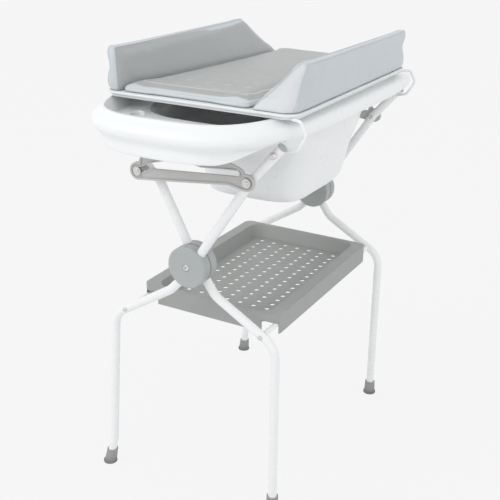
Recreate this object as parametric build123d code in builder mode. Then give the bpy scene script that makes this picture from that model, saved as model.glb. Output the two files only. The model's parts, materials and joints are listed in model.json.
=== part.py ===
"""Folding changing table with a bathtub, millimetres, Z up.

X runs across the table, Y along it from the near end to the far end, and the
origin is on the floor under the middle. Each end has two bent tubes that cross
at a round hub. The outer tubes carry the tub, the shelf tray and the slotted
brackets. The inner tubes swing about the hubs, and their pins run in the slots.
The padded mat lies on the tub's rim and opens sideways on two wire hinges.
"""
import os
from math import atan2, cos, degrees, hypot, pi, sin

from build123d import *

os.makedirs("parts", exist_ok=True)

# General clearances
slip = 0.3            # between pieces on different bodies that slide or rest
fit = 0.15            # around a tube or a bolt in its bore
overrun = 5.0         # how far a cut runs past the face it opens

# Frame tubes
tube_diameter = 20.0
tube_wall = 1.5
brace_diameter = 12.0
brace_wall = 1.2
hub_x = -6.0
hub_height = 566.0
hub_split = 303.0     # distance of the hubs' parting plane from the middle
hub_face = 1.0        # plastic between a tube and the parting plane

# Legs, as distances from the hub's axis and heights over the floor
knee_height = 404.0
knee_radius = 55.0
bend_radius = 50.0
outer_knee_reach = 203.0
outer_foot_reach = 221.0
outer_foot_flare = 9.0
foot_splay = 9.0
foot_end_splay = 17.0
kink_height = 66.0
inner_knee_reach = 197.0
inner_foot_reach = 199.0
neck_reach = 50.0     # from the hub's axis out to the bend under the hub
neck_drop = 67.0

# Tub heights and the upper ends of the frame
rim_height = 900.0
bolt_reach = 145.0    # bracket bolt, from the hub's axis
bolt_drop = 123.0     # bracket bolt, under the rim
pin_reach = 114.0
pin_drop = 139.0
arm_inset = 31.0      # top end of the outer tube, in from the tub's half width
arm_drop = 46.9
arm_bend_run = 30.0   # from the slot pin to the bend of the inner tube
arm_bend_drop = 28.0
tip_length = 13.0     # inner tube past its pin
arm_radius = 70.0

# Hubs
hub_diameter = 92.0
hub_half = 25.5
hub_groove = 2.0
hub_bolt = 8.0
hub_head_diameter = 15.0
hub_head = 5.0
hub_socket = 7.0
hub_nut_height = 6.5

# Feet
foot_height = 35.0
foot_base_diameter = 33.0
foot_top_diameter = 26.0
foot_sole = 5.0
foot_flange = 4.0

# Slotted brackets
bracket_thickness = 7.0
bracket_rim = 4.0
bracket_pocket = 2.5
bracket_rise = 57.0
pin_end_radius = 19.0
bolt_end_radius = 17.0
slot_height = 12.4
slot_elbow_run = 36.0
slot_elbow_rise = 16.0
slot_end_run = 22.0
slot_end_rise = 16.0
pin_diameter = 8.0
sleeve_diameter = 13.0
washer_diameter = 19.0
washer_thickness = 2.0
saddle_width = 90.0

# Mat hinge on the outer tubes
hinge_share = 0.797   # of the arm's last straight run
bolt_diameter = 5.0
dome_diameter = 14.0
dome_height = 6.0
wire_diameter = 6.0
wire_clear = 11.0     # from the tub's side to the middle of the wire's bow

# Shelf tray
shelf_height = 424.5
shelf_wall = 2.5
shelf_half_width = 136.0
shelf_near = 218.0
shelf_far = 234.0
shelf_rise = 31.0
shelf_flare = 14.0
shelf_lip = 7.0
channel_gap = 0.7     # between a cross tube and the channel's skirt
skirt_drop = 44.0     # height of the skirt round the tray
skirt_corner = 18.0
rib_count = 4
hole_diameter = 12.0
hole_pitch_across = 35.0
hole_pitch_along = 25.9
holes_across = 7
holes_along = 16
hole_shift = 6.0      # of the hole pattern towards the far end

# Tub
tub_wall = 3.0
tub_half_width = 243.0
tub_near = 447.0
tub_far = 459.0
tub_taper = 0.02      # growth of the half width for each unit of length
skirt_depth = 68.0
skirt_tuck_side = 24.0
skirt_tuck_end = 16.0
side_band = 38.0      # height of the rim at the sides, where the skirt is cut away
side_cut_top = 330.0
side_cut_bottom = 425.0
side_cut_corner = 40.0
crest_inset_side = 33.0
crest_shift = 13.0    # of the crest, away from the mat's hinge
crest_inset_end = 40.0
deck_drop = 26.0
deck_margin = 20.0
basin_half_width = 180.0
basin_near = 312.0
basin_far = 312.0
basin_depth = 247.0
floor_half_width = 114.0
floor_near = 74.0
floor_far = 262.0
dish_length = 66.0
dish_width = 30.0
dish_depth = 8.0
platform_length = 150.0
platform_width = 62.0
platform_rise = 4.0
drain_diameter = 34.0

# Mat
mat_gap = 1.5         # board over the rim's crest
board_thickness = 11.0
mat_inset_left = 24.0  # from the tub's side to the mat's
mat_inset_right = 12.0
mat_half_length = 302.0
mat_corner = 34.0
pad_height = 17.0
pad_draw = 7.0        # how far the pad's sides pull in between its corners
bolster_height = 90.0
bolster_wide = 98.0   # base at the sloping end
bolster_narrow = 38.0  # base at the blunt end
bolster_thickness = 25.0
bolster_top_slope = 244.0
bolster_top_blunt = 288.0
bolster_crown = 5.0
bolster_corner = 7.0
bolster_base_corner = 27.0  # on the mat's own corners, at the base
cushion_corner = 16.0
pad_gap = 1.5         # between the pad and a bolster
piping_diameter = 6.0

# Worked out from the sizes above
tube_radius = tube_diameter / 2
outer_plane = hub_split + hub_face + tube_radius
inner_plane = hub_split - hub_face - tube_radius
hub = (hub_x, hub_height)
pin = (hub_x - pin_reach, rim_height - pin_drop)
bolt = (hub_x + bolt_reach, rim_height - bolt_drop)
bracket_back = outer_plane + tube_radius + slip
bracket_front = bracket_back + bracket_thickness
board_bottom = rim_height + mat_gap
board_top = board_bottom + board_thickness
shelf_top = shelf_height + shelf_rise
mat_left = tub_half_width - mat_inset_left
mat_right = tub_half_width - mat_inset_right
deck_height = rim_height - deck_drop


def near(x, z, out):
    """A point of the near end, out from the middle plane."""
    return (x, -out, z)


outer_runs = [
    near(hub_x + tub_half_width - arm_inset, rim_height - arm_drop, outer_plane),
    near(bolt[0] + tube_radius / 4, bolt[1] + tube_radius / 4, outer_plane),
    near(hub_x - tube_radius, hub_height - tube_radius * 2.5, outer_plane),
    near(hub_x - neck_reach, hub_height - neck_drop, outer_plane),
    near(hub_x - outer_knee_reach, knee_height, outer_plane),
    near(hub_x - outer_foot_reach, kink_height, outer_plane + foot_splay),
    near(hub_x - outer_foot_reach - outer_foot_flare, foot_sole, outer_plane + foot_end_splay),
]
outer_radii = [arm_radius, bend_radius, bend_radius, knee_radius, bend_radius]
inner_bend = (pin[0] + arm_bend_run, pin[1] - arm_bend_drop)
tip_share = tip_length / hypot(arm_bend_run, arm_bend_drop)
inner_runs = [
    near(pin[0] - arm_bend_run * tip_share, pin[1] + arm_bend_drop * tip_share, inner_plane),
    near(*inner_bend, inner_plane),
    near(hub_x + tube_radius / 3, hub_height, inner_plane),
    near(hub_x + neck_reach, hub_height - neck_drop, inner_plane),
    near(hub_x + inner_knee_reach, knee_height + tube_radius, inner_plane),
    near(hub_x + inner_foot_reach, foot_sole, inner_plane),
]
inner_radii = [bend_radius / 2, arm_radius, bend_radius, knee_radius]


def along(start, end, share):
    """A point on the straight run between two places of a table of points."""
    return tuple(a + (b - a) * share for a, b in zip(start, end))


hinge = along(outer_runs[1], outer_runs[0], hinge_share)[::2]
brace_share = 0.22
outer_brace = along(outer_runs[4], outer_runs[3], brace_share)
inner_brace = along(inner_runs[4], inner_runs[3], brace_share)


def round_along(points, radii, radius, bore=0, mode=Mode.ADD):
    """A round bar along filleted runs, or a tube where it has a bore radius."""
    with BuildLine() as path:
        FilletPolyline(*points, radius=radii)
    with BuildSketch(Plane(origin=path.line @ 0, z_dir=path.line % 0)) as section:
        Circle(radius)
        if bore:
            Circle(bore, mode=Mode.SUBTRACT)
    sweep(section.sketch, path=path.line, mode=mode)


def disc(place, inside, outside, radius, mode=Mode.ADD):
    """A round piece across the near end, between two distances from the middle."""
    with BuildSketch(Plane.XZ.offset(inside)) as face:
        with Locations(place):
            Circle(radius)
    extrude(face.sketch, amount=outside - inside, mode=mode)


def keep(builder, name):
    """Label one finished sub-part and write its file."""
    builder.part.label = name
    export_step(builder.part, f"parts/{name}.step")
    print(name, len(builder.part.solids()), round(builder.part.volume))


def keep_both(builder, name):
    """Write the near piece and its mirror image at the far end."""
    keep(builder, f"{name}_near")
    with BuildPart() as twin:
        mirror(builder.part, about=Plane.XZ)
    keep(twin, f"{name}_far")


# Outer tubes, from under the tub's rim through the hub down to the splayed foot
with BuildPart() as outer_tube:
    round_along(outer_runs, outer_radii, tube_radius, tube_radius - tube_wall)
    disc(hub, inner_plane, outer_plane + tube_diameter, hub_bolt / 2 + fit, Mode.SUBTRACT)
    disc(bolt, inner_plane, outer_plane + tube_diameter, bolt_diameter / 2 + fit, Mode.SUBTRACT)
    disc(hinge, inner_plane, outer_plane + tube_diameter, wire_diameter / 2 + slip, Mode.SUBTRACT)
    disc(outer_brace[::2], inner_plane, outer_plane + tube_diameter, bolt_diameter / 2 + fit,
         Mode.SUBTRACT)
keep_both(outer_tube, "outer_tube")

# Inner tubes, from the slot pin through the hub down to the foot
with BuildPart() as inner_tube:
    round_along(inner_runs, inner_radii, tube_radius, tube_radius - tube_wall)
    disc(hub, hub_split - hub_half * 2, hub_split, hub_bolt / 2 + slip, Mode.SUBTRACT)
    disc(pin, hub_split - hub_half * 2, hub_split, pin_diameter / 2 + fit, Mode.SUBTRACT)
    disc(inner_brace[::2], hub_split - hub_half * 2, hub_split, bolt_diameter / 2 + fit, Mode.SUBTRACT)
keep_both(inner_tube, "inner_tube")


def brace(place, plane):
    """A straight tube between the two tubes of one frame, with a saddle cut at its ends."""
    reach = plane - tube_radius
    disc(place, -reach, reach, brace_diameter / 2)
    disc(place, -reach, reach, brace_diameter / 2 - brace_wall, Mode.SUBTRACT)


insert_length = 22.0
screw_head_diameter = 10.0
screw_head = 3.0


def brace_inserts(place, plane):
    """Threaded plugs in both ends of a cross tube."""
    end = plane - tube_radius
    disc(place, end - insert_length, end, brace_diameter / 2 - brace_wall - fit)
    disc(place, end - insert_length, end, bolt_diameter / 2 + fit, Mode.SUBTRACT)
    mirror(about=Plane.XZ)


def brace_screws(place, plane):
    """Domed screws through the legs into the ends of a cross tube."""
    seat = plane + tube_radius
    disc(place, plane - tube_radius - insert_length * 0.8, seat, bolt_diameter / 2)
    disc(place, seat, seat + screw_head, screw_head_diameter / 2)
    fillet(faces().sort_by(Axis.Y)[0].edges(), screw_head * 0.6)
    mirror(about=Plane.XZ)


with BuildPart() as outer_cross_tube:
    brace(outer_brace[::2], outer_plane)
keep(outer_cross_tube, "outer_cross_tube")

with BuildPart() as inner_cross_tube:
    brace(inner_brace[::2], inner_plane)
keep(inner_cross_tube, "inner_cross_tube")

with BuildPart() as outer_tube_inserts:
    brace_inserts(outer_brace[::2], outer_plane)
keep(outer_tube_inserts, "outer_cross_tube_inserts")

with BuildPart() as inner_tube_inserts:
    brace_inserts(inner_brace[::2], inner_plane)
keep(inner_tube_inserts, "inner_cross_tube_inserts")

with BuildPart() as outer_screws:
    brace_screws(outer_brace[::2], outer_plane)
keep(outer_screws, "outer_cross_tube_screws")

with BuildPart() as inner_screws:
    brace_screws(inner_brace[::2], inner_plane)
keep(inner_screws, "inner_cross_tube_screws")

# Hub halves: round housings over the tubes, turning face to face
hub_radius = hub_diameter / 2
head_seat = outer_plane + tube_radius + fit
nut_seat = hub_split - hub_half - slip
split_outer = hub_split + slip / 2
split_inner = hub_split - slip / 2

with BuildPart() as hub_outer:
    disc(hub, split_outer, split_outer + hub_groove, hub_radius - hub_groove)
    disc(hub, split_outer + hub_groove, hub_split + hub_half, hub_radius)
    chamfer(faces().sort_by(Axis.Y)[0].edges().filter_by(GeomType.CIRCLE), hub_groove * 1.2)
    round_along(outer_runs[:5], outer_radii[:3], tube_radius + fit, mode=Mode.SUBTRACT)
    disc(hub, split_outer, hub_split + hub_half, hub_bolt / 2 + fit, Mode.SUBTRACT)
    disc(hub, head_seat - fit, hub_split + hub_half, hub_head_diameter / 2 + slip * 2,
         Mode.SUBTRACT)
keep_both(hub_outer, "hub_outer")

with BuildPart() as hub_inner:
    disc(hub, split_inner - hub_groove, split_inner, hub_radius - hub_groove)
    disc(hub, hub_split - hub_half, split_inner - hub_groove, hub_radius)
    chamfer(faces().sort_by(Axis.Y)[-1].edges().filter_by(GeomType.CIRCLE), hub_groove)
    round_along(inner_runs[1:5], inner_radii[1:3], tube_radius + fit, mode=Mode.SUBTRACT)
    disc(hub, hub_split - hub_half, split_inner, hub_bolt / 2 + slip, Mode.SUBTRACT)
keep_both(hub_inner, "hub_inner")

# Hub bolts and nuts: the axle of the fold
with BuildPart() as hub_bolts:
    disc(hub, nut_seat - hub_nut_height - hub_groove, head_seat, hub_bolt / 2)
    disc(hub, head_seat, head_seat + hub_head, hub_head_diameter / 2)
    fillet(faces().sort_by(Axis.Y)[0].edges(), hub_head * 0.25)
    with BuildSketch(Plane.XZ.offset(head_seat + hub_head)) as socket:
        with Locations(hub):
            RegularPolygon(hub_socket / 2, 6)
    extrude(socket.sketch, amount=-hub_head * 0.6, mode=Mode.SUBTRACT)
    mirror(about=Plane.XZ)
keep(hub_bolts, "hub_bolts")

with BuildPart() as hub_nuts:
    with BuildSketch(Plane.XZ.offset(nut_seat - hub_nut_height)) as nut:
        with Locations(hub):
            RegularPolygon(hub_bolt * 0.92, 6)
            Circle(hub_bolt / 2 + fit, mode=Mode.SUBTRACT)
    extrude(nut.sketch, amount=hub_nut_height)
    mirror(about=Plane.XZ)
keep(hub_nuts, "hub_nuts")


# Feet: flared rubber caps, lofted from the floor to the leg
def foot_cap(runs):
    """One rubber foot over the lower end of a run of points."""
    high, low = Vector(*runs[-2]), Vector(*runs[-1])
    lean = (high - low) * (1 / (high.Z - low.Z))
    base = low + lean * (-low.Z)
    crown = base + lean * foot_height
    for height, centre, width in (
        (0, base, foot_base_diameter),
        (foot_flange, base + lean * foot_flange, foot_base_diameter),
        (foot_height, crown, foot_top_diameter),
    ):
        yield height, (centre.X, centre.Y), width / 2


def foot_body(runs, radii):
    """The cap's flange, its tapered body and the bore for the leg."""
    (z0, c0, r0), (z1, c1, r1), (z2, c2, r2) = foot_cap(runs)
    with BuildSketch(Plane.XY.offset(z0)) as sole:
        with Locations(c0):
            Circle(r0)
    extrude(sole.sketch, amount=z1 - z0)
    with BuildSketch(Plane.XY.offset(z1)) as low:
        with Locations(c1):
            Circle(r1 - foot_flange / 2)
    with BuildSketch(Plane.XY.offset(z2)) as top:
        with Locations(c2):
            Circle(r2)
    loft([low.sketch, top.sketch])
    round_along(runs[-3:], radii[-1:], tube_radius + fit, mode=Mode.SUBTRACT)


def feet(runs, radii):
    """The pair of feet of one frame."""
    foot_body(runs, radii)
    mirror(about=Plane.XZ)


with BuildPart() as outer_feet:
    feet(outer_runs, outer_radii)
keep(outer_feet, "outer_feet")

with BuildPart() as inner_feet:
    feet(inner_runs, inner_radii)
keep(inner_feet, "inner_feet")


# Round plugs in the open upper ends of the tubes
plug_stem = 12.0


def tube_plug(start, towards):
    """A domed plug pressed into a tube's end."""
    axis = (Vector(*start) - Vector(*towards)).normalized()
    origin = Vector(*start)
    with BuildSketch(Plane(origin=origin - axis * plug_stem, z_dir=axis)) as stem:
        Circle(tube_radius - tube_wall - fit)
    extrude(stem.sketch, amount=plug_stem)
    with BuildSketch(Plane(origin=origin, z_dir=axis)) as cap:
        Circle(tube_radius)
    extrude(cap.sketch, amount=tube_wall * 2)
    fillet(faces().sort_by(Axis(origin, axis))[-1].edges(), tube_wall)
    mirror(about=Plane.XZ)


with BuildPart() as outer_plugs:
    tube_plug(outer_runs[0], outer_runs[1])
keep(outer_plugs, "outer_tube_plugs")

with BuildPart() as inner_plugs:
    tube_plug(inner_runs[0], inner_runs[1])
    disc(pin, inner_plane - tube_diameter, hub_split, pin_diameter / 2 + fit, Mode.SUBTRACT)
    disc(pin, -hub_split, -inner_plane + tube_diameter, pin_diameter / 2 + fit, Mode.SUBTRACT)
keep(inner_plugs, "inner_tube_plugs")

# Slotted brackets, as shares of the span from pin to bolt and of the rise over the pin
bracket_shares = [(0.02, -0.32), (0.84, 0.1), (0.98, -0.02), (0.98, 0.7), (0.77, 1.0), (0.02, 0.63)]
bracket_span = bolt[0] - pin[0]
pin_radius_about_hub = hypot(pin[0] - hub[0], pin[1] - hub[1])
pin_angle = degrees(atan2(pin[1] - hub[1], pin[0] - hub[0]))
fold_angle = 44.0
slot_elbow = (pin[0] + slot_elbow_run, pin[1] + slot_elbow_rise)
slot_end = (bolt[0] - slot_end_run, bolt[1] + slot_end_rise)
saddle_top = deck_height - tub_wall - slip
saddle_share = 0.42


def bracket_outline():
    """The bracket's flat outline: a bar with a round end at the pin and one at the bolt."""
    corners = [(pin[0] + u * bracket_span, pin[1] + v * bracket_rise) for u, v in bracket_shares]
    with BuildLine() as edge:
        Polyline(*corners, close=True)
    make_face(edge.edges())
    fillet(vertices().sort_by(Axis.Y)[-3:], bolt_end_radius)
    with Locations(pin):
        Circle(pin_end_radius)
    with Locations(bolt):
        Circle(bolt_end_radius)


def slot_outline(height, arc_height, mode=Mode.ADD):
    """The slot: two straight stretches, and the arc that the pin follows about the hub."""
    for start, end in ((pin, slot_elbow), (slot_elbow, slot_end)):
        with Locations(((start[0] + end[0]) / 2, (start[1] + end[1]) / 2)):
            SlotCenterToCenter(hypot(end[0] - start[0], end[1] - start[1]), height,
                               rotation=degrees(atan2(end[1] - start[1], end[0] - start[0])),
                               mode=mode)
    with BuildLine() as track:
        CenterArc(hub, pin_radius_about_hub, pin_angle - fold_angle, fold_angle)
    SlotArc(track.edges()[0], arc_height, mode=mode)


pin_slot = pin_diameter + slip * 4

with BuildPart() as bracket:
    with BuildSketch(Plane.XZ.offset(bracket_back)) as plate:
        bracket_outline()
        with Locations((along(pin, bolt, saddle_share)[0], saddle_top)):
            Rectangle(saddle_width, saddle_top - pin[1] - bracket_rise * 0.7,
                      align=(Align.CENTER, Align.MAX))
    extrude(plate.sketch, amount=bracket_thickness)
    with BuildSketch(Plane.XZ.offset(bracket_front)) as pocket:
        bracket_outline()
        offset(amount=-bracket_rim)
        slot_outline(slot_height + bracket_rim, pin_slot + bracket_rim, Mode.SUBTRACT)
        with Locations(pin, bolt):
            Circle(washer_diameter / 2 + slip, mode=Mode.SUBTRACT)
    extrude(pocket.sketch, amount=-bracket_pocket, mode=Mode.SUBTRACT)
    with BuildSketch(Plane.XZ.offset(bracket_back)) as slot:
        slot_outline(slot_height, pin_slot)
        with Locations(bolt):
            Circle(bolt_diameter / 2 + fit)
    extrude(slot.sketch, amount=bracket_thickness, mode=Mode.SUBTRACT)
keep_both(bracket, "bracket")

# Bracket bolts: through the outer tube, with a pressed washer head and an inner nut
with BuildPart() as bracket_bolts:
    disc(bolt, outer_plane - tube_radius - hub_nut_height, bracket_front, bolt_diameter / 2)
    disc(bolt, bracket_front, bracket_front + washer_thickness, washer_diameter / 2)
    disc(bolt, bracket_front, bracket_front + washer_thickness * 2, screw_head_diameter / 2)
    fillet(faces().sort_by(Axis.Y)[0].edges(), washer_thickness * 0.5)
    disc(bolt, outer_plane - tube_radius - hub_nut_height * 0.7, outer_plane - tube_radius,
         screw_head_diameter / 2)
    mirror(about=Plane.XZ)
keep(bracket_bolts, "bracket_bolts")

# Slot pins: pressed in the inner tube, through the slot, with a washer head outside
pin_head = bracket_front + slip

with BuildPart() as slot_pins:
    disc(pin, inner_plane - tube_radius, pin_head, pin_diameter / 2)
    disc(pin, pin_head, pin_head + washer_thickness, washer_diameter / 2)
    disc(pin, pin_head, pin_head + washer_thickness * 2, screw_head_diameter / 2)
    fillet(faces().sort_by(Axis.Y)[0].edges(), washer_thickness * 0.5)
    mirror(about=Plane.XZ)
keep(slot_pins, "slot_pins")

with BuildPart() as slot_sleeves:
    disc(pin, inner_plane + tube_radius, bracket_back - slip, sleeve_diameter / 2)
    disc(pin, inner_plane + tube_radius, bracket_back - slip, pin_diameter / 2 + fit, Mode.SUBTRACT)
    mirror(about=Plane.XZ)
keep(slot_sleeves, "slot_sleeves")

# Mat hinge: bent wires that turn in the outer tubes, with a domed cap pressed on outside
wire_radius = wire_diameter / 2
wire_turn = wire_diameter * 0.9
wire_plane = outer_plane - tube_radius - wire_turn
cap_seat = outer_plane + tube_radius + slip
cap_end = cap_seat + dome_height
wire_level = board_top - piping_diameter - wire_radius - slip
wire_bow = hub_x + tub_half_width + wire_clear - hinge[0]
wire_shares = [(0.66, 0.12), (1.0, 0.61)]
wire_foot = 42.0      # from the hinge axis to the wire's last bend
wire_runs = [near(*hinge, cap_seat + dome_height / 2), near(*hinge, wire_plane)]
for across, up in wire_shares:
    wire_runs.append(near(hinge[0] + across * wire_bow,
                          hinge[1] + up * (wire_level - hinge[1]), wire_plane))
wire_runs.append(near(hinge[0] + wire_foot, wire_level, wire_plane))
wire_runs.append(near(hub_x + mat_right - mat_corner * 0.8, wire_level,
                      mat_half_length - mat_corner * 0.6))
wire_bends = [wire_turn, wire_diameter * 2, wire_diameter * 2, wire_diameter]

with BuildPart() as hinge_wire:
    round_along(wire_runs, wire_bends, wire_radius)
keep_both(hinge_wire, "hinge_wire")

with BuildPart() as hinge_caps:
    disc(hinge, cap_seat, cap_end, dome_diameter / 2)
    fillet(faces().sort_by(Axis.Y)[0].edges(), dome_height * 0.8)
    disc(hinge, cap_seat, cap_seat + dome_height / 2, wire_radius + fit, Mode.SUBTRACT)
    mirror(about=Plane.XZ)
keep(hinge_caps, "hinge_caps")

# Shelf tray: a pan with a holed floor and two ribbed channels over the cross tubes
shelf_x = (outer_brace[0] + inner_brace[0]) / 2
brace_half_span = (inner_brace[0] - outer_brace[0]) / 2
shelf_middle = (shelf_far - shelf_near) / 2
shelf_half_length = (shelf_far + shelf_near) / 2
shelf_corner = 26.0
skirt_reach = brace_half_span + brace_diameter / 2 + channel_gap + shelf_wall
lip_half_length = shelf_half_length + shelf_flare + shelf_lip


def pan_face(height, grow):
    """A rounded rectangle of the pan at one height."""
    with BuildSketch(Plane.XY.offset(height)) as face:
        with Locations((shelf_x, shelf_middle)):
            RectangleRounded(2 * (shelf_half_width + grow), 2 * (shelf_half_length + grow),
                             shelf_corner + grow / 2)
    return face.sketch


def channel_ribs(side, place):
    """One channel's ribs, which rest on the cross tube."""
    rib_low = place[2] + brace_diameter / 2 + slip
    with BuildSketch(Plane.XY.offset(rib_low)) as ribs:
        with Locations((shelf_x + side * (skirt_reach + shelf_half_width) / 2, shelf_middle)):
            with GridLocations(0, 2 * shelf_half_length / rib_count, 1, rib_count):
                Rectangle(skirt_reach - shelf_half_width - shelf_wall, shelf_wall)
    extrude(ribs.sketch, amount=shelf_top - rib_low)


def skirt_face(height, inset):
    """The skirt's rounded outline, or its inner side, at one height."""
    with BuildSketch(Plane.XY.offset(height)) as face:
        with Locations((shelf_x, shelf_middle)):
            RectangleRounded(2 * (skirt_reach - inset), 2 * (lip_half_length - inset),
                             skirt_corner - inset)
    return face.sketch


skirt_low = shelf_top - skirt_drop
tube_tops = max(outer_brace[2], inner_brace[2]) + brace_diameter / 2 + slip * 2

with BuildPart() as shelf_tray:
    loft([pan_face(shelf_height - shelf_wall, 0), pan_face(shelf_top, shelf_flare)])
    extrude(skirt_face(shelf_top - shelf_wall, 0), amount=shelf_wall)
    extrude(skirt_face(skirt_low, 0) - skirt_face(skirt_low, shelf_wall), amount=skirt_drop)
    with BuildSketch(Plane.XY.offset(skirt_low)) as tube_ways:
        with Locations((shelf_x, shelf_middle)):
            with GridLocations(skirt_reach - shelf_wall + shelf_half_width, 2 * lip_half_length,
                               2, 2):
                Rectangle(skirt_reach - shelf_wall - shelf_half_width, 2 * skirt_corner)
    extrude(tube_ways.sketch, amount=tube_tops - skirt_low, mode=Mode.SUBTRACT)
    channel_ribs(-1, outer_brace)
    channel_ribs(1, inner_brace)
    loft([pan_face(shelf_height, -shelf_wall), pan_face(shelf_top, shelf_flare - shelf_wall)],
         mode=Mode.SUBTRACT)
    with BuildSketch(Plane.XY.offset(shelf_height)) as holes:
        with Locations((shelf_x, shelf_middle + hole_shift)):
            with GridLocations(hole_pitch_across, hole_pitch_along, holes_across, holes_along):
                Circle(hole_diameter / 2)
    extrude(holes.sketch, amount=-shelf_wall, mode=Mode.SUBTRACT)
keep(shelf_tray, "shelf_tray")


# Tub: an egg-shaped rim with a skirt, a sunk deck and a basin
def egg_face(height, half_width, near_reach, far_reach, near_power, far_power, shift=0,
             count=36):
    """A closed egg outline at one height, fuller at the far end."""
    points = []
    for step in range(count):
        turn = 2 * pi * step / count
        across, ahead = cos(turn), sin(turn)
        power = near_power if ahead < 0 else far_power
        reach = near_reach if ahead < 0 else far_reach
        y = reach * abs(ahead) ** (2 / power) * (1 if ahead > 0 else -1)
        x = (half_width + tub_taper * y) * abs(across) ** (2 / power) * (1 if across > 0 else -1)
        points.append((hub_x - shift + x, y))
    with BuildSketch(Plane.XY.offset(height)) as face:
        with BuildLine():
            Spline(*points, periodic=True)
        make_face()
    return face.sketch


near_power = 3.6
far_power = 4.0
basin_near_power = 3.4
tuck_power = 0.5      # how much rounder the near end is at the skirt's bottom
# Shares of the skirt's depth, of its tuck and of the crest's inset, from the bottom up
rim_shares = [(1.0, 1.0, 0), (0.78, 0.6, 0), (0.56, 0.24, 0), (0.38, 0.03, 0), (0.25, 0, 0.08),
              (0.14, 0, 0.3), (0.06, 0, 0.62), (-0.02, 0, 1.12)]


def rim_faces(wall, drop):
    """The rim's outlines, drawn in by a wall, with the crest lowered by a drop."""
    faces_up = []
    for down, tuck, crest in rim_shares:
        side = tuck * skirt_tuck_side + crest * crest_inset_side + wall
        end = tuck * skirt_tuck_end + crest * crest_inset_end + wall
        lower = drop if down < 0 else 0
        faces_up.append(egg_face(rim_height - down * skirt_depth - lower, tub_half_width - side,
                                 tub_near - end, tub_far - end,
                                 near_power - tuck * tuck_power, far_power,
                                 crest * crest_shift))
    return faces_up


def deck_faces(grow, top, bottom):
    """The sunk deck's outlines at the crest and at the deck."""
    crest_side = tub_half_width - crest_inset_side + overrun
    crest_near = tub_near - crest_inset_end + overrun
    crest_far = tub_far - crest_inset_end + overrun
    draw = deck_margin / 2
    return [
        egg_face(bottom, crest_side + grow - draw, crest_near + grow - draw,
                 crest_far + grow - draw, near_power, far_power, crest_shift * 0.5),
        egg_face(top, crest_side + grow, crest_near + grow, crest_far + grow,
                 near_power, far_power, crest_shift),
    ]


# Shares of the basin's depth, and of the growth from floor to mouth at sides, near and far
basin_shares = [(1.0, 0, 0, 0), (0.95, 0.08, 0.03, 0.03), (0.8, 0.22, 0.07, 0.08),
                (0.5, 0.52, 0.22, 0.14), (0.25, 0.8, 0.56, 0.28), (0, 1, 1, 1)]


def basin_faces(wall, lift, top):
    """The basin's outlines from its floor up to its mouth, grown by a wall."""
    faces_up = []
    for down, side, nearer, farther in basin_shares:
        height = top - down * (top - (rim_height - basin_depth) - lift)
        faces_up.append(egg_face(
            height,
            floor_half_width + side * (basin_half_width - floor_half_width) + wall,
            floor_near + nearer * (basin_near - floor_near) + wall,
            floor_far + farther * (basin_far - floor_far) + wall,
            basin_near_power, far_power))
    return faces_up


def oval(height, place, length, width, turn=0):
    """A flat oval on the deck."""
    with BuildSketch(Plane.XY.offset(height)) as face:
        with Locations(place):
            Ellipse(length / 2, width / 2, rotation=turn)
    return face.sketch


dish_place = (hub_x - basin_half_width * 0.7, -basin_near * 0.985)
dish_turn = 122
platform_place = (hub_x, -(basin_near + tub_near - crest_inset_end) / 2)
drain_place = (hub_x, floor_far / 3)
drain_flange = 5.0
basin_floor = rim_height - basin_depth
skirt_bottom = rim_height - skirt_depth
arm_slot = tube_diameter + slip * 2
arm_rise = (outer_runs[0][0] - outer_runs[1][0], outer_runs[0][2] - outer_runs[1][2])
arm_length = hypot(*arm_rise)
arm_angle = degrees(atan2(arm_rise[1], arm_rise[0]))
arm_middle = along(outer_runs[1], outer_runs[0], 0.5)[::2]

with BuildPart() as rim_hollow:
    loft(rim_faces(tub_wall, tub_wall))
    split(bisect_by=Plane.XY.offset(rim_height - tub_wall), keep=Keep.BOTTOM)
    loft(deck_faces(tub_wall, rim_height + overrun, deck_height - tub_wall), mode=Mode.SUBTRACT)

with BuildPart() as tub:
    loft(rim_faces(0, 0))
    split(bisect_by=Plane.XY.offset(rim_height), keep=Keep.BOTTOM)
    loft(deck_faces(0, rim_height + overrun, deck_height), mode=Mode.SUBTRACT)
    add(rim_hollow.part, mode=Mode.SUBTRACT)
    with BuildSketch(Plane.YZ.offset(-tub_half_width * 2)) as side_cut:
        with BuildLine():
            Polyline((-side_cut_bottom, skirt_bottom - overrun),
                     (-side_cut_top, rim_height - side_band),
                     (side_cut_top, rim_height - side_band),
                     (side_cut_bottom, skirt_bottom - overrun), close=True)
        make_face()
        fillet(vertices().sort_by(Axis.Y)[-2:], side_cut_corner)
    extrude(side_cut.sketch, amount=tub_half_width * 4, mode=Mode.SUBTRACT)
    loft(basin_faces(tub_wall, -tub_wall, deck_height))
    extrude(oval(deck_height, platform_place, platform_length, platform_width),
            amount=platform_rise, taper=20)
    extrude(oval(deck_height - tub_wall, dish_place, dish_length + tub_wall * 2,
                 dish_width + tub_wall * 2, dish_turn), amount=-dish_depth)
    loft(basin_faces(0, 0, deck_height + platform_rise), mode=Mode.SUBTRACT)
    extrude(oval(deck_height, dish_place, dish_length, dish_width, dish_turn),
            amount=-dish_depth, mode=Mode.SUBTRACT)
    with BuildSketch(Plane.XY.offset(basin_floor)) as drain:
        with Locations(drain_place):
            Circle(drain_diameter / 2)
    extrude(drain.sketch, amount=-tub_wall, mode=Mode.SUBTRACT)
    for side in (-1, 1):
        with BuildSketch(Plane.XZ.offset(side * outer_plane - arm_slot / 2)) as notch:
            with Locations(arm_middle):
                Rectangle(arm_length + arm_slot, arm_slot, rotation=arm_angle)
        extrude(notch.sketch, amount=arm_slot, mode=Mode.SUBTRACT)
keep(tub, "tub")

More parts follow.
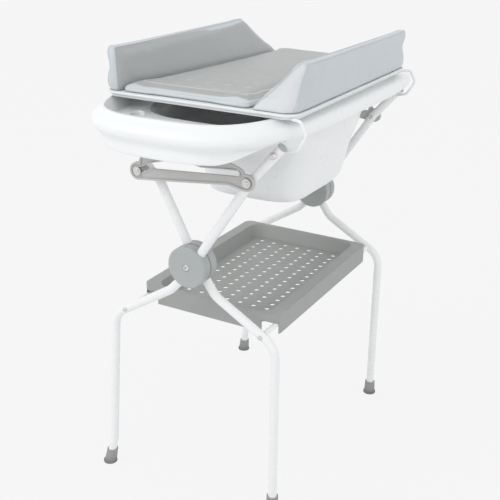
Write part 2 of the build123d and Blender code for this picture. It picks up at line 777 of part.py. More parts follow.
# Drain plug, with a flange on the basin's floor
with BuildPart() as drain_plug:
    with BuildSketch(Plane.XY.offset(basin_floor - tub_wall)) as stem:
        with Locations(drain_place):
            Circle(drain_diameter / 2 - fit)
    extrude(stem.sketch, amount=tub_wall)
    with BuildSketch(Plane.XY.offset(basin_floor)) as flange:
        with Locations(drain_place):
            Circle(drain_diameter / 2 + drain_flange)
    extrude(flange.sketch, amount=drain_flange)
    fillet(faces().sort_by(Axis.Z)[-1].edges(), drain_flange * 0.8)
keep(drain_plug, "drain_plug")

# Mat board: the stiff base of the mat, with blind bores for the hinge wires
mat_middle = hub_x + (mat_right - mat_left) / 2
mat_half_width = (mat_right + mat_left) / 2


def mat_face(height, shrink):
    """The mat's rounded outline at one height."""
    with BuildSketch(Plane.XY.offset(height)) as face:
        with Locations((mat_middle, 0)):
            RectangleRounded(2 * (mat_half_width - shrink), 2 * (mat_half_length - shrink),
                             mat_corner - shrink)
    return face.sketch


with BuildPart() as mat_board:
    extrude(mat_face(board_bottom, piping_diameter + fit), amount=board_thickness)
    round_along(wire_runs, wire_bends, wire_radius + fit, mode=Mode.SUBTRACT)
    round_along([(x, -y, z) for x, y, z in wire_runs], wire_bends, wire_radius + fit,
                mode=Mode.SUBTRACT)
keep(mat_board, "mat_board")

# Piping: a round cord of vinyl along the board's edge
piping_radius = piping_diameter / 2
piping_height = board_top - piping_radius

with BuildPart() as mat_piping:
    path = mat_face(piping_height, piping_radius).face().outer_wire()
    with BuildSketch(Plane(origin=path @ 0, z_dir=path % 0)) as cord:
        Circle(piping_radius)
    sweep(cord.sketch, path=path)
keep(mat_piping, "mat_piping")

# Bolsters: wedges that widen towards one end, where they slope. One is the other turned round.
bolster_reach = mat_half_width - piping_radius
bolster_base = mat_half_length - piping_radius
bolster_low = board_top + slip
# Shares of the bolster's height and of its crown, from the bottom up
bolster_shares = [(0, 0.35), (0.1, 0), (0.45, 0), (0.8, 0.1), (0.94, 0.4), (1.0, 1.0)]


def bolster_face(share, shrink, side):
    """One level section of a bolster, from its base to its narrow top."""
    outer = bolster_reach - shrink
    wide = bolster_reach - along((bolster_wide,), (bolster_thickness,), share)[0] + shrink
    narrow = bolster_reach - along((bolster_narrow,), (bolster_thickness,), share)[0] + shrink
    slope_end = along((bolster_base,), (bolster_top_slope,), share)[0] - shrink
    blunt_end = along((bolster_base,), (bolster_top_blunt,), share)[0] - shrink
    corners = [(outer, -slope_end), (outer, blunt_end), (narrow, blunt_end), (wide, -slope_end)]
    points = [(mat_middle + side * x, side * y) for x, y in corners]
    with BuildSketch(Plane.XY.offset(bolster_low + share * bolster_height)) as face:
        with BuildLine():
            Polyline(*points, close=True)
        make_face()
        round_off = along((bolster_base_corner,), (bolster_corner,), share)[0]
        fillet(vertices().sort_by(lambda v: side * v.X)[-2:], round_off)
        fillet(vertices().sort_by(lambda v: side * v.X)[:2], bolster_corner)
    return face.sketch


with BuildPart() as left_bolster:
    loft([bolster_face(up, draw * bolster_crown, -1) for up, draw in bolster_shares])
keep(left_bolster, "left_bolster")

with BuildPart() as right_bolster:
    loft([bolster_face(up, draw * bolster_crown, 1) for up, draw in bolster_shares])
keep(right_bolster, "right_bolster")

# Pad: a crowned cushion between the bolsters, whose sides draw in between its corners
pad_wide = bolster_reach - bolster_narrow - pad_gap
pad_narrow = bolster_reach - bolster_wide - pad_gap
pad_half_length = mat_half_length - piping_radius
pad_shares = [(0, 0.5), (0.2, 0), (0.6, 0.1), (0.85, 0.9), (1.0, 2.4)]


def pad_face(height, shrink):
    """The pad's outline at one height, with bowed-in sides."""
    wide, narrow, half = pad_wide - shrink, pad_narrow - shrink, pad_half_length - shrink
    middle = (wide + narrow) / 2
    corners = [(-wide, -half), (narrow, -half), (wide, half), (-narrow, half)]
    bows = [(0, pad_draw - half), (middle - pad_draw, 0), (0, half - pad_draw),
            (pad_draw - middle, 0)]
    with BuildSketch(Plane.XY.offset(height)) as face:
        with BuildLine():
            for place, bow in enumerate(bows):
                ends = corners[place], corners[(place + 1) % len(corners)]
                points = [(mat_middle + x, y) for x, y in (ends[0], bow, ends[1])]
                ThreePointArc(*points)
        make_face()
        fillet(vertices(), cushion_corner)
    return face.sketch


with BuildPart() as mat_pad:
    loft([pad_face(board_top + slip + up * (pad_height - slip), draw * pad_draw)
          for up, draw in pad_shares])
keep(mat_pad, "mat_pad")
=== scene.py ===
"""Looks of the changing table: camera, light, materials and the soft pieces of its mat."""

import json
import math

import bmesh
import bpy
import numpy as np
from mathutils import Matrix, Vector
from mathutils.bvhtree import BVHTree


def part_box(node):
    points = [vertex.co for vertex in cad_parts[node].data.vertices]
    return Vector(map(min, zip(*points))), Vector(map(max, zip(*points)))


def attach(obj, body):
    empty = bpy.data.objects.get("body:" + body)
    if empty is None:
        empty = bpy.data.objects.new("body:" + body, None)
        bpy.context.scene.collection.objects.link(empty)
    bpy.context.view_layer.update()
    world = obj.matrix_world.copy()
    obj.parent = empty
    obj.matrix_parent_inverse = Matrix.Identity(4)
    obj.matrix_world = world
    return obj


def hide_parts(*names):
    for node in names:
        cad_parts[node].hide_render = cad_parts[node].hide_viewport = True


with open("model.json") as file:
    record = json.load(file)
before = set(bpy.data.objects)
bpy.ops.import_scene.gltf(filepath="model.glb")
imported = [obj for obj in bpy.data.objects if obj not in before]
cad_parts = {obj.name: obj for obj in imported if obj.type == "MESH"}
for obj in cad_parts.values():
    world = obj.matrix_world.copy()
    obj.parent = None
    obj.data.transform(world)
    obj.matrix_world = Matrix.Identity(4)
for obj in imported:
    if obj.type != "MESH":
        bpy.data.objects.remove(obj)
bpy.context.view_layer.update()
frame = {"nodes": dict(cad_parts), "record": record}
scene = bpy.context.scene
nodes = frame["nodes"]


# Shader groups shared by the materials
def link_group(name, outputs, inputs):
    """An empty shader group with its sockets, and its input and output nodes."""
    group = bpy.data.node_groups.new(name, "ShaderNodeTree")
    for label, kind, value in inputs:
        socket = group.interface.new_socket(label, in_out="INPUT", socket_type=kind)
        if kind == "NodeSocketFloat":
            socket.default_value = value
    for label, kind in outputs:
        group.interface.new_socket(label, in_out="OUTPUT", socket_type=kind)
    return group, group.nodes.new("NodeGroupInput"), group.nodes.new("NodeGroupOutput")


def feed(tree, value, socket):
    """Links an output to a socket, or sets the socket to a plain number or colour."""
    if hasattr(value, "is_output"):
        tree.links.new(value, socket)
    elif socket.type == "RGBA":
        socket.default_value = (*value, 1.0)
    else:
        socket.default_value = value


def noise(tree, vector, scale, detail=4.0, rough=0.55):
    """A noise texture that reads a vector socket."""
    node = tree.nodes.new("ShaderNodeTexNoise")
    feed(tree, scale, node.inputs["Scale"])
    node.inputs["Detail"].default_value = detail
    node.inputs["Roughness"].default_value = rough
    tree.links.new(vector, node.inputs["Vector"])
    return node.outputs[0]


def math_node(tree, operation, *values):
    """A math node fed by sockets or plain numbers."""
    node = tree.nodes.new("ShaderNodeMath")
    node.operation = operation
    for socket, value in zip(node.inputs, values):
        feed(tree, value, socket)
    return node.outputs[0]


def weighted_sum(tree, first, first_share, second, second_share):
    """Two values, each times its share, added."""
    return math_node(tree, "ADD", math_node(tree, "MULTIPLY", first, first_share),
                     math_node(tree, "MULTIPLY", second, second_share))


def spread(tree, value, low, high):
    """Maps a noise value, mostly 0.3 to 0.7, onto a range."""
    node = tree.nodes.new("ShaderNodeMapRange")
    tree.links.new(value, node.inputs["Value"])
    node.inputs["From Min"].default_value = 0.3
    node.inputs["From Max"].default_value = 0.7
    feed(tree, low, node.inputs["To Min"])
    feed(tree, high, node.inputs["To Max"])
    return node.outputs[0]


def make_moulded():
    """Moulded or coated surface: fine grain, slow waves and a cloudy gloss."""
    group, given, result = link_group(
        "moulded",
        [("Shade", "NodeSocketFloat"), ("Roughness", "NodeSocketFloat"),
         ("Height", "NodeSocketFloat")],
        [("Vector", "NodeSocketVector", None), ("Grain", "NodeSocketFloat", 600.0),
         ("Low", "NodeSocketFloat", 0.3), ("High", "NodeSocketFloat", 0.45),
         ("Mottle", "NodeSocketFloat", 0.03)])
    place = given.outputs["Vector"]
    grain = noise(group, place, given.outputs["Grain"], detail=2.0)
    wave = noise(group, place, scale=9.0, detail=3.0)
    cloud = noise(group, place, scale=28.0, detail=5.0, rough=0.65)
    mixed = weighted_sum(group, wave, 0.5, cloud, 0.5)
    low = math_node(group, "SUBTRACT", 1.0, given.outputs["Mottle"])
    group.links.new(spread(group, mixed, low, high=1.0), result.inputs["Shade"])
    group.links.new(spread(group, cloud, given.outputs["Low"], given.outputs["High"]),
                    result.inputs["Roughness"])
    height = weighted_sum(group, grain, 0.35, wave, 0.65)
    group.links.new(height, result.inputs["Height"])
    return group


def make_vinyl():
    """Soft vinyl: leather grain, shallow creases and a slow change of shade."""
    group, given, result = link_group(
        "soft_vinyl",
        [("Shade", "NodeSocketFloat"), ("Roughness", "NodeSocketFloat"),
         ("Height", "NodeSocketFloat")],
        [("Vector", "NodeSocketVector", None), ("Grain", "NodeSocketFloat", 700.0)])
    place = given.outputs["Vector"]
    cells = group.nodes.new("ShaderNodeTexVoronoi")
    cells.feature = "DISTANCE_TO_EDGE"
    group.links.new(place, cells.inputs["Vector"])
    group.links.new(given.outputs["Grain"], cells.inputs["Scale"])
    pores = math_node(group, "MINIMUM", cells.outputs["Distance"], 0.12)
    creases = noise(group, place, scale=22.0, detail=5.0, rough=0.6)
    folds = noise(group, place, scale=7.0, detail=2.0)
    cloud = noise(group, place, scale=45.0)
    height = weighted_sum(group, pores, 0.7, creases, 0.55)
    height = math_node(group, "ADD", height, math_node(group, "MULTIPLY", folds, 1.3))
    group.links.new(height, result.inputs["Height"])
    group.links.new(spread(group, folds, low=0.95, high=1.0), result.inputs["Shade"])
    group.links.new(spread(group, cloud, low=0.34, high=0.46), result.inputs["Roughness"])
    return group


moulded = make_moulded()
vinyl = make_vinyl()


def start_material(name, metallic=0.0, coat=0.0, coat_roughness=0.1, specular=0.5, sheen=0.0):
    """A material with its shader, its object coordinates and constants on its own sockets."""
    material = bpy.data.materials.new(name)
    material.use_nodes = True
    tree = material.node_tree
    shader = tree.nodes["Principled BSDF"]
    shader.inputs["Metallic"].default_value = metallic
    shader.inputs["Coat Weight"].default_value = coat
    shader.inputs["Coat Roughness"].default_value = coat_roughness
    shader.inputs["Specular IOR Level"].default_value = specular
    shader.inputs["Sheen Weight"].default_value = sheen
    place = tree.nodes.new("ShaderNodeTexCoord").outputs["Object"]
    return material, tree, shader, place


def tinted(tree, shade, colour):
    """A colour multiplied by a shade value."""
    mix = tree.nodes.new("ShaderNodeMix")
    mix.data_type = "RGBA"
    mix.blend_type = "MULTIPLY"
    mix.inputs["Factor"].default_value = 1.0
    feed(tree, colour, mix.inputs["A"])
    grey = tree.nodes.new("ShaderNodeCombineColor")
    for channel in grey.inputs:
        tree.links.new(shade, channel)
    tree.links.new(grey.outputs[0], mix.inputs["B"])
    return mix.outputs["Result"]


def bump(tree, shader, height, depth):
    """Feeds a height into the shader's normal."""
    node = tree.nodes.new("ShaderNodeBump")
    node.inputs["Strength"].default_value = 1.0
    node.inputs["Distance"].default_value = depth
    tree.links.new(height, node.inputs["Height"])
    tree.links.new(node.outputs["Normal"], shader.inputs["Normal"])


darkening_top = 0.02   # height up to which the feet grow darker towards the bottom


def hard_material(name, colour, low, high, grain=600.0, depth=0.0002, mottle=0.03,
                  foot_darkening=0.0, **facts):
    """Plastic, paint, rubber or metal with moulded grain."""
    material, tree, shader, place = start_material(name, **facts)
    group = tree.nodes.new("ShaderNodeGroup")
    group.node_tree = moulded
    tree.links.new(place, group.inputs["Vector"])
    for label, value in (("Grain", grain), ("Low", low), ("High", high), ("Mottle", mottle)):
        group.inputs[label].default_value = value
    shade = group.outputs["Shade"]
    # The shade is made darker towards the bottom of the part, by up to the given share at its
    # base
    if foot_darkening:
        split = tree.nodes.new("ShaderNodeSeparateXYZ")
        tree.links.new(place, split.inputs[0])
        bottom_darkening = tree.nodes.new("ShaderNodeMapRange")
        tree.links.new(split.outputs["Z"], bottom_darkening.inputs["Value"])
        bottom_darkening.inputs["From Max"].default_value = darkening_top
        bottom_darkening.inputs["To Min"].default_value = 1.0 - foot_darkening
        shade = math_node(tree, "MULTIPLY", shade, bottom_darkening.outputs[0])
    tree.links.new(tinted(tree, shade, colour), shader.inputs["Base Color"])
    tree.links.new(group.outputs["Roughness"], shader.inputs["Roughness"])
    bump(tree, shader, group.outputs["Height"], depth)
    return material


# Sizes of the mat's printed panel, in metres
print_start = 0.012        # bare rim, in from the panel's seam
line_inset = 0.017         # from the seam to the thin line
line_half_width = 0.0013
ring_pitch = 0.046
ring_radius = 0.0052
ring_half_width = 0.0009
ring_band = (-0.207, 0.046)   # middle of the band of rings along the mat, and its half width
groove_width = 0.0015      # of the seam, to each side
groove_steepness = 900.0


def blended(tree, factor, first, second):
    """A mix of two colours by a mask."""
    mix = tree.nodes.new("ShaderNodeMix")
    mix.data_type = "RGBA"
    tree.links.new(factor, mix.inputs["Factor"])
    feed(tree, first, mix.inputs["A"])
    feed(tree, second, mix.inputs["B"])
    return mix.outputs["Result"]


def printed_panel(tree, place, border, panel):
    """The mat's darker panel with its line and rings: a colour, and the height of its seam."""
    middle, skew, half_x, half_y, low_z, dark, light = panel
    split = tree.nodes.new("ShaderNodeSeparateXYZ")
    tree.links.new(place, split.inputs[0])
    centre = math_node(tree, "ADD", middle,
                       math_node(tree, "MULTIPLY", split.outputs["Y"], skew))
    across = math_node(tree, "ABSOLUTE",
                       math_node(tree, "SUBTRACT", split.outputs["X"], centre))
    along = math_node(tree, "ABSOLUTE", split.outputs["Y"])
    inside = math_node(tree, "MINIMUM",
                       math_node(tree, "SUBTRACT", half_x, across),
                       math_node(tree, "SUBTRACT", half_y, along))
    over = math_node(tree, "GREATER_THAN", split.outputs["Z"], low_z)
    mask = math_node(tree, "MULTIPLY", over, math_node(tree, "GREATER_THAN", inside, 0.0))
    line = math_node(tree, "COMPARE", inside, line_inset, line_half_width)
    squares = []
    for axis in ("X", "Y"):
        cell = math_node(tree, "PINGPONG", split.outputs[axis], ring_pitch)
        offset = math_node(tree, "SUBTRACT", cell, ring_pitch / 2)
        squares.append(math_node(tree, "POWER", offset, 2.0))
    ring = math_node(tree, "SQRT", math_node(tree, "ADD", *squares))
    ring = math_node(tree, "COMPARE", ring, ring_radius, ring_half_width)
    band = math_node(tree, "COMPARE", split.outputs["Y"], *ring_band)
    printed = math_node(tree, "MAXIMUM", line, math_node(tree, "MULTIPLY", ring, band))
    printed = math_node(tree, "MULTIPLY", printed,
                        math_node(tree, "GREATER_THAN", inside, print_start))
    colour = blended(tree, mask, border, blended(tree, printed, dark, light))
    groove = math_node(tree, "MINIMUM", math_node(tree, "ABSOLUTE", inside), groove_width)
    groove = math_node(tree, "MULTIPLY", groove, groove_steepness)
    return colour, math_node(tree, "MULTIPLY", over, groove)


def vinyl_material(name, colour, grain=700.0, depth=0.0005, panel=None):
    """Soft vinyl, with a darker printed panel if its box is given."""
    material, tree, shader, place = start_material(
        name, coat=0.12, coat_roughness=0.35, specular=0.45, sheen=0.08)
    group = tree.nodes.new("ShaderNodeGroup")
    group.node_tree = vinyl
    group.inputs["Grain"].default_value = grain
    tree.links.new(place, group.inputs["Vector"])
    height = group.outputs["Height"]
    if panel:
        colour, seam = printed_panel(tree, place, colour, panel)
        height = math_node(tree, "ADD", height, seam)
    tree.links.new(tinted(tree, group.outputs["Shade"], colour), shader.inputs["Base Color"])
    tree.links.new(group.outputs["Roughness"], shader.inputs["Roughness"])
    bump(tree, shader, height, depth)
    return material


white_paint = hard_material(
    "white_paint", (0.88, 0.88, 0.88), low=0.22, high=0.34, grain=500.0, depth=0.00003,
    coat=0.5, coat_roughness=0.08)
white_gloss = hard_material(
    "white_gloss", (0.88, 0.89, 0.89), low=0.26, high=0.36, grain=260.0, depth=0.00005,
    mottle=0.02, coat=0.3, coat_roughness=0.12)
tray_grey = hard_material(
    "tray_grey", (0.37, 0.38, 0.365), low=0.46, high=0.6, grain=900.0, depth=0.0003, mottle=0.05)
hub_grey = hard_material(
    "hub_grey", (0.42, 0.44, 0.435), low=0.4, high=0.52, grain=800.0, mottle=0.05)
bracket_grey = hard_material(
    "bracket_grey", (0.56, 0.55, 0.535), low=0.4, high=0.52, grain=800.0, mottle=0.04)
bright_metal = hard_material(
    "bright_metal", (0.72, 0.71, 0.69), low=0.12, high=0.26, grain=1400.0, depth=0.00006,
    mottle=0.08, metallic=1.0)
# Rubber feet, made darker towards the bottom
grey_rubber = hard_material(
    "grey_rubber", (0.34, 0.34, 0.335), low=0.62, high=0.78, grain=700.0, depth=0.0004,
    mottle=0.1, foot_darkening=0.35)
board_white = hard_material(
    "board_white", (0.8, 0.81, 0.815), low=0.5, high=0.65, grain=300.0, depth=0.0003, mottle=0.05)
thread_white = hard_material(
    "thread_white", (0.72, 0.74, 0.75), low=0.6, high=0.75, grain=2500.0)
piping_white = vinyl_material("piping_white", (0.8, 0.82, 0.825), grain=1100.0, depth=0.0002)
silver_vinyl = vinyl_material("silver_vinyl", (0.56, 0.6, 0.62))
# Shaded and lit copies of the bolster vinyl: the darker one is painted shade, the paler one is
# painted highlight
painted_shade_vinyl = vinyl_material("painted_shade_vinyl", (0.43, 0.44, 0.44))
painted_highlight_vinyl = vinyl_material("painted_highlight_vinyl", (0.66, 0.68, 0.69))

looks = {
    "white_tube": white_paint,
    "bright_steel": bright_metal,
    "white_plastic": white_gloss,
    "tray_plastic": tray_grey,
    "hub_plastic": hub_grey,
    "bracket_plastic": bracket_grey,
    "grey_rubber": grey_rubber,
    "pad_vinyl": silver_vinyl,
    "piping_vinyl": piping_white,
    "board": board_white,
}
slots = {entry["node"]: entry["material_slot"] for entry in frame["record"]["subparts"]}
for name, piece in nodes.items():
    piece.data.materials.clear()
    piece.data.materials.append(looks[slots[name]])


# The mat's soft pieces: swelled from the shapes of their solids
cloth_steps = 20
smooth_rounds = 4
pressure = 4.0
held_height = 0.003    # of the strip at a piece's base that is held
base_lift = 0.0002     # least height of a swelled point over the piece's base


def simulate(piece, voxel, cap, held_below):
    """Swells a piece as stuffed cloth by up to cap, with its lowest points held."""
    bpy.context.view_layer.objects.active = piece
    for other in bpy.context.selected_objects:
        other.select_set(False)
    piece.select_set(True)
    piece.data.remesh_voxel_size = voxel
    bpy.ops.object.voxel_remesh()
    mesh = piece.data
    start = np.array([v.co[:] for v in mesh.vertices])
    hold = piece.vertex_groups.new(name="hold")
    hold.add([i for i, p in enumerate(start) if p[2] < held_below], 1.0, "REPLACE")
    cloth = piece.modifiers.new("swell", "CLOTH")
    settings = cloth.settings
    settings.quality = 5
    settings.use_pressure = True
    settings.uniform_pressure_force = pressure
    settings.effector_weights.gravity = 0.0
    settings.vertex_group_mass = "hold"
    cloth.collision_settings.use_collision = False
    cloth.point_cache.frame_start = 1
    cloth.point_cache.frame_end = cloth_steps
    for step in range(1, cloth_steps + 1):
        scene.frame_set(step)
    shape = piece.evaluated_get(bpy.context.evaluated_depsgraph_get()).to_mesh()
    moved = np.array([v.co[:] for v in shape.vertices]) - start
    length = np.linalg.norm(moved, axis=1, keepdims=True)
    moved *= np.minimum(1.0, cap / np.maximum(length, 1e-9))
    piece.modifiers.remove(cloth)
    scene.frame_set(1)
    for vertex, place in zip(mesh.vertices, start + moved):
        vertex.co = place
    mesh.update()
    work = bmesh.new()
    work.from_mesh(mesh)
    for _ in range(smooth_rounds):
        bmesh.ops.smooth_vert(work, verts=work.verts, factor=0.5, use_axis_x=True,
                              use_axis_y=True, use_axis_z=True)
    work.to_mesh(mesh)
    work.free()
    divide = piece.modifiers.new("divide", "SUBSURF")
    divide.levels = divide.render_levels = 1
    bpy.ops.object.modifier_apply(modifier=divide.name)
    for face in piece.data.polygons:
        face.use_smooth = True


def soft_piece(name, node, material, voxel, cap):
    """A stuffed piece that takes a node's place."""
    mesh = nodes[node].data.copy()
    mesh.name = name
    mesh.materials.clear()
    mesh.materials.append(material)
    piece = bpy.data.objects.new(name, mesh)
    scene.collection.objects.link(piece)
    base_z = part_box(node)[0][2]
    simulate(piece, voxel, cap, base_z + held_height)
    for vertex in piece.data.vertices:
        vertex.co.z = max(vertex.co.z, base_z + base_lift)
    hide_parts(node)
    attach(piece, "mat")
    return piece


cord_sides = 8
off_axis = Vector((0.31, 0.17, 0.93))   # a direction in which no welt runs


def welt_cord(name, points, radius, material):
    """A thin round cord through points, closed at both ends."""
    count = len(points)
    verts, faces = [], []
    for i, point in enumerate(points):
        ahead = points[min(i + 1, count - 1)]
        behind = points[max(i - 1, 0)]
        along = (Vector(ahead) - Vector(behind)).normalized()
        side = along.cross(off_axis).normalized()
        up = side.cross(along)
        for k in range(cord_sides):
            turn = 2 * math.pi * k / cord_sides
            verts.append(Vector(point) + radius * (math.cos(turn) * side + math.sin(turn) * up))
    for first in range(0, (count - 1) * cord_sides, cord_sides):
        for k in range(cord_sides):
            n = (k + 1) % cord_sides
            faces.append((first + k, first + n, first + cord_sides + n, first + cord_sides + k))
    faces.append(tuple(range(cord_sides))[::-1])
    faces.append(tuple((count - 1) * cord_sides + k for k in range(cord_sides)))
    mesh = bpy.data.meshes.new(name)
    mesh.from_pydata(verts, [], faces)
    mesh.materials.append(material)
    for face in mesh.polygons:
        face.use_smooth = True
    piece = bpy.data.objects.new(name, mesh)
    scene.collection.objects.link(piece)
    return piece


fewest_points = 8


def resample(points, step, closed=True):
    """Evenly spaced points along a run of points."""
    line = [Vector(p) for p in points]
    if closed:
        line.append(line[0])
    lengths = np.cumsum([0] + [(b - a).length for a, b in zip(line, line[1:])])
    count = max(fewest_points, int(lengths[-1] / step))
    stops = np.linspace(0, lengths[-1], count, endpoint=not closed)
    flat = np.array([p[:] for p in line])
    return [tuple(np.interp(stop, lengths, flat[:, axis]) for axis in range(3)) for stop in stops]


def stitches(name, points, pitch, length, width, material, body):
    """Stitches set along a seam by geometry nodes, then made a plain mesh."""
    curve = bpy.data.meshes.new(name + "_seam")
    curve.from_pydata(points, [(i, (i + 1) % len(points)) for i in range(len(points))], [])
    piece = bpy.data.objects.new(name, curve)
    scene.collection.objects.link(piece)
    group = bpy.data.node_groups.new(name, "GeometryNodeTree")
    face = group.interface
    face.new_socket("Seam", in_out="INPUT", socket_type="NodeSocketGeometry")
    ids = {}
    for label in ("Pitch", "Length", "Width"):
        socket = face.new_socket(label, in_out="INPUT", socket_type="NodeSocketFloat")
        ids[label] = socket.identifier
    face.new_socket("Stitches", in_out="OUTPUT", socket_type="NodeSocketGeometry")
    make = group.nodes.new
    given, result = make("NodeGroupInput"), make("NodeGroupOutput")
    to_curve = make("GeometryNodeMeshToCurve")
    evenly = make("GeometryNodeResampleCurve")
    evenly.mode = "LENGTH"
    ball = make("GeometryNodeMeshUVSphere")
    ball.inputs["Segments"].default_value = 6
    ball.inputs["Rings"].default_value = 5
    ball.inputs["Radius"].default_value = 0.5
    size = make("ShaderNodeCombineXYZ")
    tangent = make("GeometryNodeInputTangent")
    turn = make("FunctionNodeAlignRotationToVector")
    turn.axis = "X"
    place = make("GeometryNodeInstanceOnPoints")
    solid = make("GeometryNodeRealizeInstances")
    paint = make("GeometryNodeSetMaterial")
    paint.inputs["Material"].default_value = material
    link = group.links.new
    link(given.outputs["Seam"], to_curve.inputs[0])
    link(to_curve.outputs[0], evenly.inputs["Curve"])
    link(given.outputs["Pitch"], evenly.inputs["Length"])
    link(evenly.outputs[0], place.inputs["Points"])
    link(ball.outputs["Mesh"], place.inputs["Instance"])
    link(tangent.outputs[0], turn.inputs["Vector"])
    link(turn.outputs[0], place.inputs["Rotation"])
    link(given.outputs["Length"], size.inputs["X"])
    link(given.outputs["Width"], size.inputs["Y"])
    link(given.outputs["Width"], size.inputs["Z"])
    link(size.outputs[0], place.inputs["Scale"])
    link(place.outputs[0], solid.inputs[0])
    link(solid.outputs[0], paint.inputs["Geometry"])
    link(paint.outputs[0], result.inputs[0])
    layer = piece.modifiers.new("stitches", "NODES")
    layer.node_group = group
    for label, value in (("Pitch", pitch), ("Length", length), ("Width", width)):
        layer[ids[label]] = value
    piece.update_tag()
    graph = bpy.context.evaluated_depsgraph_get()
    mesh = bpy.data.meshes.new_from_object(piece.evaluated_get(graph))
    piece.modifiers.remove(layer)
    piece.data = mesh
    for polygon in mesh.polygons:
        polygon.use_smooth = True
    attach(piece, body)
    return piece


# Pad: its panel is slanted like the gap between the bolsters
bolster_gap = 0.0015
panel_inset_x, panel_inset_y = 0.014, 0.018   # of the panel's seam from the pad's sides and ends
panel_depth = 0.008    # below the pad's top, where the panel's colour ends
pad_low, pad_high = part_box("mat_pad")
pad_middle = (pad_low[0] + pad_high[0]) / 2
pad_wide = pad_high[0] - pad_middle
pad_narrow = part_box("right_bolster")[0][0] - pad_middle - bolster_gap
pad_half_y = (pad_high[1] - pad_low[1]) / 2
skew = (pad_wide - pad_narrow) / 2 / pad_half_y
panel_half_x = (pad_wide + pad_narrow) / 2 - panel_inset_x
panel_half_y = pad_half_y - panel_inset_y
pad_vinyl = vinyl_material(
    "pad_vinyl", (0.6, 0.635, 0.65),
    panel=(pad_middle, skew, panel_half_x, panel_half_y, pad_high[2] - panel_depth,
           (0.39, 0.395, 0.39), (0.6, 0.61, 0.61)))
pad = soft_piece("padded_mat", "mat_pad", pad_vinyl, voxel=0.005, cap=0.004)
left, right = (
    soft_piece(f"stuffed_{node}", node, silver_vinyl, voxel=0.0045, cap=0.005)
    for node in ("left_bolster", "right_bolster"))


def surface_of(piece):
    """A search tree over a piece's faces."""
    work = bmesh.new()
    work.from_mesh(piece.data)
    found = BVHTree.FromBMesh(work)
    work.free()
    return found


def snapped(surface, points, lift):
    """Points moved onto a surface, and a little above it."""
    result = []
    for point in points:
        place, normal, _, _ = surface.find_nearest(Vector(point))
        result.append(tuple(place + normal * lift))
    return result


seam_lift = 0.0002     # of welts and stitches over the vinyl

# Bolsters: painted shade on the faces turned inwards, painted highlight on the slope, with a welt
# along both faces' edges
shade_turn = 0.55      # part of a face's normal that points inwards, above which the face gets the painted shade
highlight_turn = 0.6       # part that points along the mat, above which the slope's face gets the painted highlight
welt_radius = 0.0013
seam_step = 0.006
slope_top, blunt_top = 0.244, 0.286   # ends of the bolster's top along the mat
top_inner = 0.2        # the top's inner edge, from the mat's middle
inner_taper = 0.06     # how much narrower the blunt end's base is
foot_rise, top_drop, edge_inset = 0.004, 0.001, 0.002   # of the seams from the bolster's box

for piece, node, side in ((left, "left_bolster", -1), (right, "right_bolster", 1)):
    piece.data.materials.append(painted_shade_vinyl)
    piece.data.materials.append(painted_highlight_vinyl)
    # Painted shade on faces turned inwards, painted highlight on the faces of the slope
    for face in piece.data.polygons:
        across, ahead, _ = face.normal
        if -side * across > shade_turn:
            face.material_index = 1
        elif -side * ahead > highlight_turn:
            face.material_index = 2
    low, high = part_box(node)
    surface = surface_of(piece)
    z_low, z_high = low[2] + foot_rise, high[2] - top_drop
    outer = side * (abs(high[0] if side > 0 else low[0]) - edge_inset)
    inner = abs(low[0] if side > 0 else high[0]) + edge_inset
    base = high[1] - edge_inset
    faces = (
        ("outer", ((outer, -base, z_low), (outer, -slope_top, z_high),
                   (outer, blunt_top, z_high), (outer, base, z_low))),
        ("inner", ((side * inner, -base, z_low), (side * top_inner, -slope_top, z_high),
                   (side * top_inner, blunt_top, z_high),
                   (side * (inner + inner_taper), base, z_low))))
    for label, corners in faces:
        outline = [(x, side * y, z) for x, y, z in corners]
        seam = snapped(surface, resample(outline, seam_step, closed=False), seam_lift)
        welt = welt_cord(f"{piece.name}_welt_{label}", seam, welt_radius, silver_vinyl)
        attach(welt, "mat")

# Stitches round the pad's panel
corner = 0.014         # rounding of the stitched line
stitch_margin = 0.004  # from the panel's edge out to the stitches
seam_rise = 0.01       # over the pad, from which the line is dropped onto it
outline = []
for sx, sy, start in ((1, 1, 0), (-1, 1, 90), (-1, -1, 180), (1, -1, 270)):
    for turn in range(0, 91, 15):
        angle = math.radians(start + turn)
        across = sx * (panel_half_x - corner) + corner * math.cos(angle)
        ahead = sy * (panel_half_y - corner) + corner * math.sin(angle)
        across *= 1 + stitch_margin / panel_half_x
        ahead *= 1 + stitch_margin / panel_half_y
        outline.append((pad_middle + skew * ahead + across, ahead, pad_high[2] + seam_rise))
seam = snapped(surface_of(pad), resample(outline, step=0.004), seam_lift)
stitches("panel_stitches", seam, pitch=0.0052, length=0.0036, width=0.0009,
         material=thread_white, body="mat")


# Light: one large soft key from the near left above, and an even pale room
def area_light(name, place, target, size, power):
    """A soft square lamp."""
    lamp = bpy.data.lights.new(name, "AREA")
    lamp.shape = "SQUARE"
    lamp.size = size
    lamp.energy = power
    light = bpy.data.objects.new(name, lamp)
    light.location = place
    light.rotation_euler = (Vector(target) - Vector(place)).to_track_quat("-Z", "Y").to_euler()
    scene.collection.objects.link(light)


area_light("key", (-1.9, -2.6, 2.9), target=(0, 0, 0.7), size=1.8, power=32.0)
area_light("fill", (2.6, -1.4, 1.4), target=(0, 0, 0.6), size=1.6, power=7.0)
backdrop = (0.93, 0.93, 0.93, 1.0)   # seen by the camera
room_light = (0.97, 0.985, 1.0, 1.0)
room_strength = 0.93

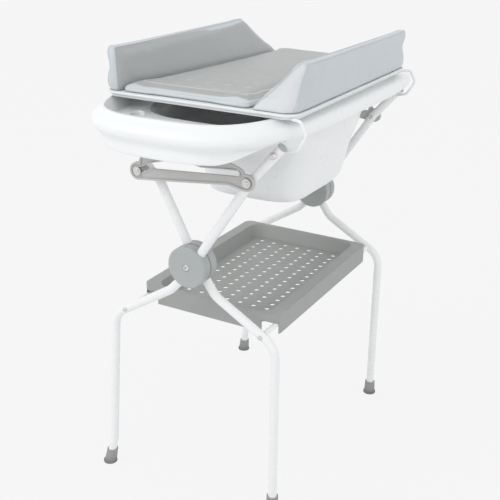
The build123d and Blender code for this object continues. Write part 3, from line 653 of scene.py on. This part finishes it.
world = bpy.data.worlds.new("pale_room")
scene.world = world
world.use_nodes = True
room = world.node_tree
room.nodes.clear()
seen, felt = room.nodes.new("ShaderNodeBackground"), room.nodes.new("ShaderNodeBackground")
seen.inputs["Color"].default_value = backdrop
felt.inputs["Color"].default_value = room_light
felt.inputs["Strength"].default_value = room_strength
choose = room.nodes.new("ShaderNodeMixShader")
path = room.nodes.new("ShaderNodeLightPath")
room.links.new(math_node(room, "MAXIMUM", path.outputs["Is Camera Ray"],
                         path.outputs["Is Glossy Ray"]), choose.inputs[0])
room.links.new(felt.outputs[0], choose.inputs[1])
room.links.new(seen.outputs[0], choose.inputs[2])
room.links.new(choose.outputs[0], room.nodes.new("ShaderNodeOutputWorld").inputs["Surface"])

floor_reach = 30
floor_glow = 0.93   # share of the backdrop's colour that the camera sees on the floor
floor_mesh = bpy.data.meshes.new("floor")
floor_mesh.from_pydata([(x * floor_reach, y * floor_reach, 0)
                        for x, y in ((-1, -1), (1, -1), (1, 1), (-1, 1))], [], [(0, 1, 2, 3)])
floor = bpy.data.objects.new("floor", floor_mesh)
scene.collection.objects.link(floor)
pale = bpy.data.materials.new("pale_floor")
pale.use_nodes = True
tree = pale.node_tree
tree.nodes.clear()
matt, glow = tree.nodes.new("ShaderNodeBsdfDiffuse"), tree.nodes.new("ShaderNodeEmission")
matt.inputs["Color"].default_value = (0.8, 0.8, 0.8, 1.0)
glow.inputs["Color"].default_value = backdrop
blend = tree.nodes.new("ShaderNodeMixShader")
path = tree.nodes.new("ShaderNodeLightPath")
share = math_node(tree, "MAXIMUM", path.outputs["Is Camera Ray"], path.outputs["Is Glossy Ray"])
share = math_node(tree, "MULTIPLY", share, floor_glow)
tree.links.new(share, blend.inputs[0])
tree.links.new(matt.outputs[0], blend.inputs[1])
tree.links.new(glow.outputs[0], blend.inputs[2])
tree.links.new(blend.outputs[0], tree.nodes.new("ShaderNodeOutputMaterial").inputs["Surface"])
floor_mesh.materials.append(pale)

# Camera, as measured on the photograph's frame of 500 by 500
camera_place = Vector((0.9244, -1.7273, 1.2941))
azimuth, elevation, roll = (math.radians(value) for value in (29.18, 22.90, 0.654))
ahead = Vector((-math.sin(azimuth) * math.cos(elevation),
                math.cos(azimuth) * math.cos(elevation), -math.sin(elevation)))
level = Vector((math.cos(azimuth), math.sin(azimuth), 0))
upward = level.cross(ahead)
side = level * math.cos(roll) + upward * math.sin(roll)
top = upward * math.cos(roll) - level * math.sin(roll)
view = bpy.data.cameras.new("view")
view.lens = 62.64
view.sensor_width = 36.0
view.shift_x = 0.0038
view.shift_y = 0.0197
view.clip_end = 100.0
camera = bpy.data.objects.new("view", view)
turned = Matrix((side, top, -ahead)).transposed().to_4x4()
turned.translation = camera_place
camera.matrix_world = turned
scene.collection.objects.link(camera)
scene.camera = camera
scene.view_settings.view_transform = "Standard"
